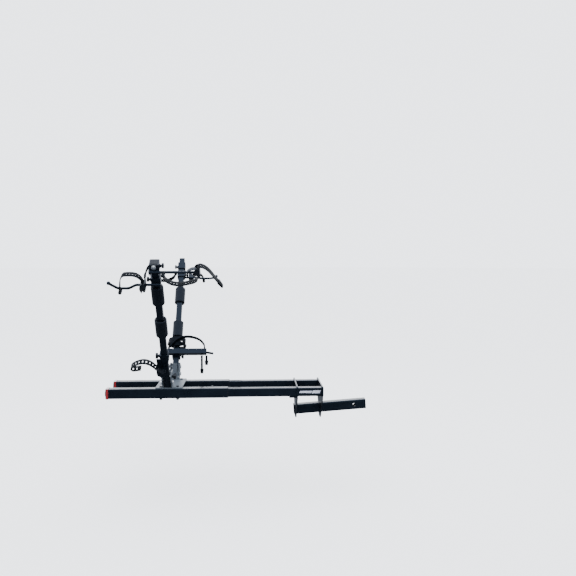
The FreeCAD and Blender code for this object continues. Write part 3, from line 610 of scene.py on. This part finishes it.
BUCKLE_OUTLINE = ((0, -2.5), (46, -2.5), (46, 7), (42, 14), (35, 19), (27, 21), (20, 20), (12, 15),
                  (6, 8), (0, 6))
LEVER_OUTLINE = ((30, 18.2), (22, 20.4), (15, 20.9), (8, 20.6), (1, 19), (-6, 16.0), (-11, 13.4),
                 (-14, 15.7), (-7, 19.6), (0, 22.4), (8, 24), (15, 24.2), (22, 23.2), (29, 20.5))
LEVER_OPENED = 75.0
PIN_X, PIN_Z = 27, 13
MM = 0.001

black_steel = powder_coat("blackened_pressed_steel", "#0c0e11", "#15181c", 0.40, 1.2, shine=0.3,
                          tint="#c4d6f2")


def slab(bm, outline, low, high, rounding):
    """A plate with an outline in the XZ plane, between two places across Y, with eased edges."""
    verts = [bm.verts.new((x * MM, low * MM, z * MM)) for x, z in outline]
    face = bm.faces.new(verts)
    grown = bmesh.ops.extrude_face_region(bm, geom=[face], use_keep_orig=True)["geom"]
    far = [g for g in grown if isinstance(g, bmesh.types.BMVert)]
    bmesh.ops.translate(bm, verts=far, vec=(0, (high - low) * MM, 0))
    rims = [e for e in {e for v in verts + far for e in v.link_edges}
            if abs(e.verts[0].co.y - e.verts[1].co.y) < 1e-7]
    bmesh.ops.bevel(bm, geom=rims, offset=rounding * MM, segments=2, affect="EDGES", profile=0.5,
                    material=-1)


def cross_pin(bm, x, z, diameter, half_length):
    """A round pin across Y with softened ends."""
    made = bmesh.ops.create_cone(bm, cap_ends=True, segments=24, radius1=diameter / 2 * MM,
                                 radius2=diameter / 2 * MM, depth=2 * half_length * MM)["verts"]
    ends = [e for e in {e for v in made for e in v.link_edges}
            if abs(e.verts[0].co.z - e.verts[1].co.z) < 1e-7]
    bevelled = bmesh.ops.bevel(bm, geom=ends, offset=0.5 * MM, segments=2, affect="EDGES",
                               profile=0.5, material=-1)["verts"]
    verts = list({v for v in made if v.is_valid} | set(bevelled))
    bmesh.ops.transform(bm, verts=verts, matrix=Matrix.Translation((x * MM, 0, z * MM))
                        @ Matrix.Rotation(math.pi / 2, 4, "X"))


def buckle_place(unit):
    """A buckle is drawn along X with its lever on +Z, and stands up the post where it is fixed."""
    if unit["mirror"]:
        origin = Vector((0.0465, STRAP_Y, unit["rod"] - 0.012))
        axes = Matrix(((0, 0, 1), (0, -1, 0), (1, 0, 0)))
    else:
        origin = Vector((0.200, STRAP_Y, unit["rod"] + 0.004))
        axes = Matrix(((0, 0, -1), (0, 1, 0), (1, 0, 0)))
    return Matrix.Translation(origin) @ axes.to_4x4()


def buckle_channel():
    """The channel: a floor with a slot edge, two cheeks and the rivetted pin."""
    bm = bmesh.new()
    slab(bm, ((0, -2.5), (46, -2.5), (46, 0), (0, 0)), -17.6, 17.6, 0.5)
    slab(bm, BUCKLE_OUTLINE, -18.4, -16.4, 0.5)
    slab(bm, BUCKLE_OUTLINE, 16.4, 18.4, 0.5)
    cross_pin(bm, PIN_X, PIN_Z, 5.0, 19.5)
    return bm


def buckle_thumb(opened):
    """The lever: a hub on the pin, a curved paddle and three grip ridges near its tip."""
    bm = bmesh.new()
    slab(bm, LEVER_OUTLINE, -11.0, 11.0, 0.9)
    for v in bm.verts:
        taper = 1.0 - 0.18 * max(0.0, min(1.0, (10 - v.co.x / MM) / 36))
        v.co.y *= taper
    cross_pin(bm, PIN_X, PIN_Z, 10.5, 12.2)
    for x, z in ((-10, 16.8), (-6.5, 19.0), (-3, 20.3)):
        cross_pin(bm, x, z, 2.2, 8.0)
    pivot = Matrix.Translation((PIN_X * MM, 0, PIN_Z * MM))
    turn = pivot @ Matrix.Rotation(math.radians(opened), 4, "Y") @ pivot.inverted()
    bmesh.ops.transform(bm, verts=bm.verts, matrix=turn)
    return bm


for name, unit in UNITS.items():
    place = buckle_place(unit)
    channel = buckle_channel()
    lever = buckle_thumb(0.0 if unit["mirror"] else LEVER_OPENED)
    for bm, suffix, body in ((channel, "_buckle", name + "_unit"), (lever, "_lever", name + "_lever")):
        bmesh.ops.transform(bm, verts=bm.verts, matrix=place)
        on_post(bm, unit["side"], unit["mirror"])
        smooth(finish_piece(name + suffix + "_pressed", bm, black_steel, body,
                            (name + suffix,)))


# ---------------------------------------------------------------- ladder straps
# The straps are moulded thermoplastic rubber.  Holes run down the middle like a ladder for the
# ratchet's pawl, with a raised tooth on each rung.  A strap with a free end has a thick grip there.

STRAP_WIDTH = 0.032
STRAP_THICKNESS = 0.0032
LADDER_PITCH = 0.0135
RUNG_SHARE = 0.66
HOLE_HALF_WIDTH = 0.0026
TOOTH_INSET = 0.0006
TOOTH_HEIGHT = 0.0012


def rubber(name, low, high, roughness):
    """Moulded rubber: nearly black, with a soft low shine and a greyish bloom in patches."""
    material, tree, place = new_material(name)
    bloom = add_node(tree, "ShaderNodeTexNoise", {"Vector": place, "Scale": per_mm(18), "Detail": 3.0})
    colour = add_node(tree, "ShaderNodeMix", {"Factor": bloom.outputs["Fac"], 6: srgb(low), 7: srgb(high)},
                      data_type="RGBA")
    gloss = add_node(tree, "ShaderNodeMapRange", {"Value": bloom.outputs["Fac"],
                                                  "To Min": roughness - 0.1, "To Max": roughness + 0.1})
    # The mould's matt finish is about 0.2 mm; it is drawn coarser so that it shows.
    grain = add_node(tree, "ShaderNodeTexNoise", {"Vector": place, "Scale": per_mm(1.0), "Detail": 2.0})
    bump = add_node(tree, "ShaderNodeBump", {"Height": grain.outputs["Fac"], "Strength": 0.2,
                                             "Distance": 0.0002})
    shader = add_node(tree, "ShaderNodeBsdfPrincipled",
                      {"Base Color": colour.outputs[2], "Roughness": gloss.outputs["Result"],
                       "Normal": bump.outputs["Normal"], "IOR": 1.5, "Specular IOR Level": 0.06,
                       "Specular Tint": srgb("#a3bde4")})
    add_node(tree, "ShaderNodeOutputMaterial", {"Surface": shader.outputs["BSDF"]})
    return material


strap_rubber = rubber("moulded_thermoplastic_rubber_black", "#050709", "#0a0d11", 0.5)


def eased(points):
    """A route in the XZ plane with its corners rounded: the limit of repeated corner cutting."""
    route = [Vector(p) for p in points]
    for _ in range(4):
        cut = [route[0]]
        for a, b in zip(route, route[1:]):
            cut += [a.lerp(b, 0.25), a.lerp(b, 0.75)]
        route = cut + [route[-1]]
    return route


def route_length(route):
    return sum((b - a).length for a, b in zip(route, route[1:]))


def bend(bm, route, across):
    """Bends what lies flat along X to a route in the XZ plane, at a place across Y."""
    marks = [0.0]
    for a, b in zip(route, route[1:]):
        marks.append(marks[-1] + (b - a).length)
    for v in bm.verts:
        along = min(max(v.co.x, 0.0), marks[-1] - 1e-6)
        i = next(k for k in range(len(route) - 1) if marks[k + 1] > along)
        step = (route[i + 1] - route[i]).normalized()
        ahead = (route[min(i + 2, len(route) - 1)] - route[max(i - 1, 0)]).normalized()
        spot = route[i] + step * (v.co.x - marks[i])
        v.co = (spot.x - ahead.y * v.co.z, across + v.co.y, spot.y + ahead.x * v.co.z)


def ladder(bm, length, plain_start, plain_end, spacing=LADDER_PITCH, hole=HOLE_HALF_WIDTH,
           width=STRAP_WIDTH):
    """A flat ladder strap along X: a strip with holes, thickened, with a tooth under each rung."""
    count = max(4, round(length / spacing))
    pitch = length / count
    rung = pitch * RUNG_SHARE
    strip = bmesh.ops.create_grid(bm, x_segments=2 * count, y_segments=3, size=0.5)["verts"]
    columns = sorted({round(v.co.x, 5) for v in strip})
    rows = sorted({round(v.co.y, 5) for v in strip})
    for v in strip:
        column = columns.index(round(v.co.x, 5))
        row = rows.index(round(v.co.y, 5))
        v.co.x = (column // 2) * pitch + (rung if column % 2 else 0.0)
        v.co.y = (-width / 2, -hole, hole, width / 2)[row]
    middle = [f for f in bm.faces if abs(f.calc_center_median().y) < hole / 2]
    holes = [f for f in middle if f.calc_center_median().x % pitch > rung
             and plain_start < f.calc_center_median().x < length - plain_end]
    bmesh.ops.delete(bm, geom=holes, context="FACES")
    bmesh.ops.translate(bm, verts=bm.verts, vec=(0, 0, -STRAP_THICKNESS / 2))
    grown = bmesh.ops.extrude_face_region(bm, geom=bm.faces[:], use_keep_orig=True)["geom"]
    bmesh.ops.translate(bm, verts=[g for g in grown if isinstance(g, bmesh.types.BMVert)],
                        vec=(0, 0, STRAP_THICKNESS))
    rungs = [f for f in bm.faces if abs(f.calc_center_median().y) < hole / 2
             and f.calc_center_median().z < -STRAP_THICKNESS * 0.4
             and plain_start < f.calc_center_median().x < length - plain_end]
    bmesh.ops.recalc_face_normals(bm, faces=bm.faces)
    bmesh.ops.inset_individual(bm, faces=rungs, thickness=TOOTH_INSET, depth=TOOTH_HEIGHT)
    sides = [e for e in bm.edges if abs(abs(e.verts[0].co.y) - width / 2) < 1e-6
             and abs(abs(e.verts[1].co.y) - width / 2) < 1e-6
             and abs(e.verts[0].co.x - e.verts[1].co.x) > 1e-5]
    bmesh.ops.bevel(bm, geom=sides, offset=0.0008, segments=2, affect="EDGES", profile=0.5, material=-1)


def grip_end(bm, start, length, width, thickness):
    """The thick moulded grip at a strap's free end, tapered and ridged."""
    made = bmesh.ops.create_cube(bm, size=1.0)["verts"]
    bmesh.ops.scale(bm, verts=made, vec=(length, width, thickness))
    for v in made:
        if v.co.x > 0:
            v.co.y *= 0.72
            v.co.z *= 0.7
    bmesh.ops.translate(bm, verts=made, vec=(start + length / 2, 0, 0))
    edges = list({e for v in made for e in v.link_edges})
    bmesh.ops.bevel(bm, geom=edges, offset=0.0014, segments=2, affect="EDGES", profile=0.5, material=-1)
    for k in range(4):
        place = 0.25 + 0.17 * k
        share = 1.0 - 0.3 * place
        ridge = bmesh.ops.create_cube(bm, size=1.0)["verts"]
        bmesh.ops.scale(bm, verts=ridge, vec=(0.0022, width * share * 0.9, thickness * share + 0.0016))
        bmesh.ops.translate(bm, verts=ridge, vec=(start + length * place, 0, 0))


def eye_ring(bm, x, z, outer, inner, half_width, across):
    """A moulded ring about Y: the eye that turns on the arm's peg, or the ring in a strap."""
    ease = 0.0008
    known = set(bm.verts)
    profile = ((inner, -half_width), (outer - ease, -half_width), (outer, -half_width + ease),
               (outer, half_width - ease), (outer - ease, half_width), (inner, half_width))
    verts = [bm.verts.new((r, y, 0)) for r, y in profile]
    edges = [bm.edges.new(pair) for pair in zip(verts, verts[1:] + verts[:1])]
    bmesh.ops.spin(bm, geom=verts + edges, cent=(0, 0, 0), axis=(0, 1, 0), dvec=(0, 0, 0),
                   angle=2 * math.pi, steps=32, use_merge=True)
    bmesh.ops.translate(bm, verts=[v for v in bm.verts if v not in known], vec=(x, across, z))


HANGING_LOOP = [(42, -3), (50, -27), (80, -47), (112, -51), (150, -43), (190, -30), (196.5, -4),
                (196.5, 50)]
LONG_TAIL = [(204, 57), (230, 46), (252, 20), (271, -14), (288, -40), (303, -64)]
STEEP_TAIL = [(206, 60), (216, 44), (224, 14), (229, -34)]
HIGH_EYE = (42, 5)


def arched(eye, dip, arch):
    """The strap's route over the place of the tyre, which rises to the arch's height."""
    return [(eye, 8 - dip), (eye - 4, 0.5 * arch), (eye - 18, 0.95 * arch), (eye - 34, arch), (86, arch),
            (64, 0.82 * arch), (50, 0.5 * arch), (50, -14)]


# For each unit: its route in millimetres beside and above its bar, its eye, and its grip's length.
STRAPS = {
    "near_high": (HANGING_LOOP + LONG_TAIL, HIGH_EYE, 36),
    "near_low": (arched(158, 20, 78), (158, -20), 0),
    "far_high": (HANGING_LOOP + STEEP_TAIL, HIGH_EYE, 30),
    "far_low": (arched(132, 6, 38), (132, -6), 0),
}

for name, (points, eye, grip) in STRAPS.items():
    unit = UNITS[name]
    route = eased([(x * MM, unit["rod"] + z * MM) for x, z in points])
    length = route_length(route)
    bm = bmesh.new()
    ladder(bm, length - grip * MM * 0.8, 0.020, 0.010)
    if grip:
        grip_end(bm, length - grip * MM, grip * MM, STRAP_WIDTH, 0.0105)
    bend(bm, route, STRAP_Y)
    eye_ring(bm, eye[0] * MM, unit["rod"] + eye[1] * MM, 0.0085, 0.0043, 0.0125, STRAP_Y)
    on_post(bm, unit["side"], unit["mirror"])
    smooth(finish_piece(name + "_ladder_strap", bm, strap_rubber, name + "_unit",
                        (name + "_strap",)))


# ---------------------------------------------------------------- lower cradle straps
# The near cradle's strap is a short ladder strap.  The far one is a narrow strap that rises from
# the channel in an arc, goes round the post in three turns, and leaves two loose ends hanging.

NEAR_LOWER_ROUTE = ((4, 172), (20, 180), (36, 198), (54, 224), (76, 241), (100, 246), (124, 238),
                    (150, 224), (164, 206), (154, 192), (132, 196), (112, 200))
NEAR_LOWER_WIDTH = 0.036
NEAR_LOWER_PITCH = 0.0185
NEAR_LOWER_HOLE = 0.0064
NEAR_LOWER_TIP = 0.010
route = eased([(x * MM, z * MM) for x, z in NEAR_LOWER_ROUTE])
length = route_length(route)
bm = bmesh.new()
ladder(bm, length, 0.016, 0.006, NEAR_LOWER_PITCH, NEAR_LOWER_HOLE, NEAR_LOWER_WIDTH)
grip_end(bm, length - NEAR_LOWER_TIP, NEAR_LOWER_TIP, NEAR_LOWER_WIDTH * 0.98, 0.0068)
bend(bm, route, -COLLAR_FACE - 0.030)
on_post(bm, "near", True)
smooth(finish_piece("near_lower_ladder_strap", bm, strap_rubber, "near_lower_unit",
                    ("near_lower_strap",)))

FAR_CRADLE = 0.158
THIN_WIDTH = 0.022
THIN_THICKNESS = 0.0075
top = FAR_CRADLE / MM + 15
FAR_LOWER_ROUTE = ((159, top + 0.5), (158, top + 26), (130, top + 60), (84, top + 77), (42, top + 78),
                   (4, top + 62), (-20, top + 34), (-34, top + 14))
far_route = eased([(x * MM, z * MM) for x, z in FAR_LOWER_ROUTE])


def plain_strap(bm, length, width, thickness):
    """A flat strap along X with eased edges, in short steps so that it bends smoothly."""
    steps = max(4, round(length / 0.005))
    bmesh.ops.create_grid(bm, x_segments=steps, y_segments=1, size=0.5)
    for v in bm.verts:
        v.co = ((v.co.x + 0.5) * length, v.co.y * width, -thickness / 2)
    grown = bmesh.ops.extrude_face_region(bm, geom=bm.faces[:], use_keep_orig=True)["geom"]
    bmesh.ops.translate(bm, verts=[g for g in grown if isinstance(g, bmesh.types.BMVert)],
                        vec=(0, 0, thickness))
    sides = [e for e in bm.edges if abs(e.verts[0].co.x - e.verts[1].co.x) > 1e-5]
    bmesh.ops.bevel(bm, geom=sides, offset=thickness * 0.28, segments=2, affect="EDGES", profile=0.5,
                    material=-1)


# Each turn: its middle up the post, its height, its reach along X and Y, and its tilt in degrees.
WRAP_TURNS = ((0.244, 0.026, 0.049, 0.036, 0.0), (0.221, 0.018, 0.054, 0.035, 12.0),
              (0.208, 0.016, 0.050, 0.036, -12.0))
WRAP_WALL = 0.0045
WRAP_STEPS = 72
RING_PLACE = (0.033, COLLAR_FACE + 0.022, 0.220)


def wrap_turn(bm, middle, height, reach_x, reach_y, tilt):
    """One turn of strap round the post: a flat closed band with eased edges, tilted a little."""
    known = set(bm.verts)
    ease = 0.001
    section = ((0, ease), (0, height - ease), (-ease, height), (-WRAP_WALL, height), (-WRAP_WALL, 0),
               (-ease, 0))
    corners = [bm.verts.new((reach_x + x, 0, z - height / 2)) for x, z in section]
    edges = [bm.edges.new(pair) for pair in zip(corners, corners[1:] + corners[:1])]
    bmesh.ops.spin(bm, geom=corners + edges, cent=(0, 0, 0), axis=(0, 0, 1), dvec=(0, 0, 0),
                   angle=2 * math.pi, steps=WRAP_STEPS, use_merge=True)
    verts = [v for v in bm.verts if v not in known]
    bmesh.ops.scale(bm, verts=verts, vec=(1.0, reach_y / reach_x, 1.0))
    bmesh.ops.transform(bm, verts=verts, matrix=Matrix.Translation((0, 0, middle))
                        @ Matrix.Rotation(math.radians(tilt), 4, "Y"))


arc = bmesh.new()
plain_strap(arc, route_length(far_route), THIN_WIDTH, THIN_THICKNESS)
bend(arc, far_route, COLLAR_FACE + 0.020)

strap = bmesh.new()
for turn in WRAP_TURNS:
    wrap_turn(strap, *turn)
eye_ring(strap, RING_PLACE[0], RING_PLACE[2], 0.0125, 0.0070, 0.003, RING_PLACE[1])
absorb(strap, arc)
on_post(strap, "far", True)

# Each tail: its place along X and the height of its lower end.
TAILS = ((-0.829, 0.143), (-0.803, 0.190))
TAIL_WIDTH = 0.012
TAIL_THICKNESS = 0.004
TAIL_DROP = 0.021
TIP_LENGTH = 0.026
TIP_WIDTH = 0.021
TIP_THICKNESS = 0.009
tail_top = POSTS["far"] @ MIRROR_X @ Vector((0.10, COLLAR_FACE + 0.012, FAR_CRADLE))
downward = Matrix.Rotation(math.pi / 2, 4, "Z") @ Matrix.Rotation(math.pi / 2, 4, "Y")
for x, bottom in TAILS:
    hang = tail_top.z - TAIL_DROP - bottom
    tail = bmesh.new()
    plain_strap(tail, hang, TAIL_WIDTH, TAIL_THICKNESS)
    grip_end(tail, hang - TIP_LENGTH, TIP_LENGTH, TIP_WIDTH, TIP_THICKNESS)
    bmesh.ops.transform(tail, verts=tail.verts,
                        matrix=Matrix.Translation((x, tail_top.y, bottom + hang)) @ downward)
    absorb(strap, tail)
smooth(finish_piece("far_lower_thin_strap", strap, strap_rubber, "far_lower_unit",
                    ("far_lower_strap",)))

# A moulded sleeve covers the thin bar at the channel's outer end, up to its ball.
sleeve_start = Vector((0.1705, COLLAR_FACE + 0.012, FAR_CRADLE - 0.0047))
sleeve_end = Vector((0.199, COLLAR_FACE + 0.012, FAR_CRADLE - 0.0102))
SLEEVE_HALF = 0.0064
sleeve = bmesh.new()
bmesh.ops.create_cone(sleeve, cap_ends=True, segments=32, radius1=SLEEVE_HALF, radius2=SLEEVE_HALF,
                      depth=(sleeve_end - sleeve_start).length)
rims = [e for e in sleeve.edges if abs(e.verts[0].co.z - e.verts[1].co.z) < 1e-6]
bmesh.ops.bevel(sleeve, geom=rims, offset=0.0012, segments=2, affect="EDGES", profile=0.5,
                material=-1)
along = (sleeve_end - sleeve_start).to_track_quat("Z", "Y").to_matrix().to_4x4()
bmesh.ops.transform(sleeve, verts=sleeve.verts,
                    matrix=Matrix.Translation((sleeve_start + sleeve_end) / 2) @ along)
on_post(sleeve, "far", True)
smooth(finish_piece("far_lower_bar_sleeve", sleeve, black_plastic, "far_lower_unit"))


# ---------------------------------------------------------------- bolt on the near collar
# A zinc-plated carriage bolt shows on the outer face of the near post's top collar, over a
# pressed washer.

BOLT_PLACE = (-0.002, -COLLAR_FACE, 0.7995)
BOLT_WASHER = 0.0016
DOME_RADIUS = 0.0085
DOME_FLATTENING = 0.42
bm = bmesh.new()
washer = bmesh.ops.create_cone(bm, cap_ends=True, segments=40, radius1=0.0115, radius2=0.0108,
                               depth=BOLT_WASHER)["verts"]
bmesh.ops.translate(bm, verts=washer, vec=(0, 0, BOLT_WASHER / 2))
dome = bmesh.ops.create_uvsphere(bm, u_segments=32, v_segments=16, radius=DOME_RADIUS)["verts"]
bmesh.ops.scale(bm, verts=dome, vec=(1, 1, DOME_FLATTENING))
bmesh.ops.translate(bm, verts=dome, vec=(0, 0, BOLT_WASHER))
bmesh.ops.transform(bm, verts=bm.verts,
                    matrix=Matrix.Translation(BOLT_PLACE) @ Matrix.Rotation(math.pi / 2, 4, "X"))
on_post(bm, "near")
smooth(finish_piece("near_high_collar_bolt", bm, bright_zinc, "near_high_unit"))


# ---------------------------------------------------------------- studio
# A wide pale floor at the height that the ground has under a hitch, and soft light all round from
# a white room, with one large panel above and one beside the camera.

FLOOR_LEVEL = -0.43
FLOOR_RADIUS = 60.0
floor_mesh = bmesh.new()
bmesh.ops.create_circle(floor_mesh, cap_ends=True, segments=96, radius=FLOOR_RADIUS)
bmesh.ops.translate(floor_mesh, verts=floor_mesh.verts, vec=(-0.6, 0, FLOOR_LEVEL))
floor_data = bpy.data.meshes.new("floor")
floor_mesh.to_mesh(floor_data)
floor_mesh.free()
floor = bpy.data.objects.new("floor", floor_data)
bpy.context.scene.collection.objects.link(floor)
floor_paint, tree, place = new_material("matt_white_studio_floor")
# The floor is seen pale, but throws no more light back up than grey paving would.
paths = add_node(tree, "ShaderNodeLightPath")
seen = add_node(tree, "ShaderNodeMix", {"Factor": paths.outputs["Is Camera Ray"], 6: srgb("#55585c"),
                                        7: srgb("#fafafa")}, data_type="RGBA")
shader = add_node(tree, "ShaderNodeBsdfDiffuse", {"Color": seen.outputs[2]})
add_node(tree, "ShaderNodeOutputMaterial", {"Surface": shader.outputs["BSDF"]})
floor_data.materials.append(floor_paint)

world = bpy.data.worlds.new("studio")
world.use_nodes = True
world.node_tree.nodes.clear()
sky = add_node(world.node_tree, "ShaderNodeBackground", {"Color": srgb("#f4f8ff"), "Strength": 3.4})
add_node(world.node_tree, "ShaderNodeOutputWorld", {"Surface": sky.outputs["Background"]})
bpy.context.scene.world = world

# Each panel: its place, its side in metres and its power in watts.
PANELS = {
    "panel_above": ((-0.6, 0.6, 3.2), 3.0, 40.0),
    "panel_by_camera": ((-2.6, -3.4, 1.8), 2.0, 8.0),
}
PANEL_AIM = Vector((-0.7, 0.0, 0.3))
for name, (place, size, power) in PANELS.items():
    light = bpy.data.lights.new(name, "AREA")
    light.shape = "SQUARE"
    light.size = size
    light.energy = power
    lamp = bpy.data.objects.new(name, light)
    lamp.location = place
    lamp.rotation_euler = (PANEL_AIM - Vector(place)).to_track_quat("-Z", "Y").to_euler()
    bpy.context.scene.collection.objects.link(lamp)

CAMERA_PLACE = (-0.5571, -3.7295, 0.8138)
CAMERA_TILT = 87.177
CAMERA_TURN = -3.095
lens = bpy.data.cameras.new("camera")
lens.sensor_width = 36.0
lens.lens = 43.62
camera = bpy.data.objects.new("camera", lens)
camera.location = CAMERA_PLACE
camera.rotation_euler = (math.radians(CAMERA_TILT), 0.0, math.radians(CAMERA_TURN))
bpy.context.scene.collection.objects.link(camera)
bpy.context.scene.camera = camera
